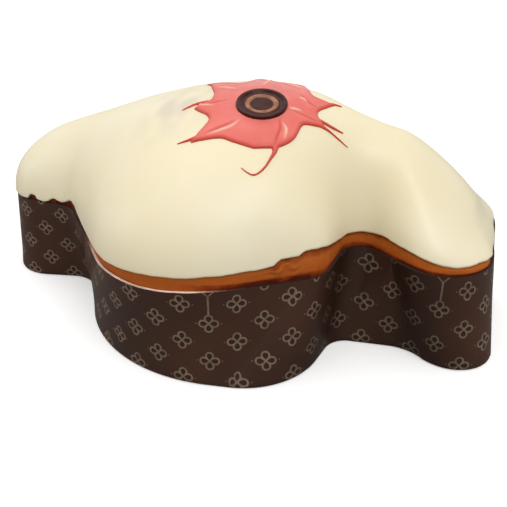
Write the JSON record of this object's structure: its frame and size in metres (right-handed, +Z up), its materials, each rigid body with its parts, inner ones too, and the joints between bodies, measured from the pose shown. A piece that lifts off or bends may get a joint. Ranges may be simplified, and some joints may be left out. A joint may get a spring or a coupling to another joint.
{
  "type": "colomba cake",
  "caption": "Dove-shaped risen cake in a printed paper case: domed body with head, wings and tail, pale icing, browned crust showing at the rim, a chocolate disc near the top.",
  "frame": {"origin": "middle of the object's box, on the plane the case stands on", "axes": "+X from the head to the tail, +Y from the wing in front to the wing behind, +Z up"},
  "size_m": [0.316, 0.216, 0.1322],
  "materials": {
    "printed_paper": "dark brown corrugated baking paper with a fine pale print",
    "browned_crust": "baked crust, soft and matt",
    "white_icing": "smooth white chocolate icing with a soft shine",
    "coral_glaze": "poured fruit glaze, smooth and glossy",
    "dark_chocolate": "moulded dark chocolate, satin"
  },
  "bodies": {
    "root": {"paper_case": "printed_paper", "cake": "browned_crust", "icing": "white_icing", "chocolate_disc": "dark_chocolate"}
  },
  "joints": []
}
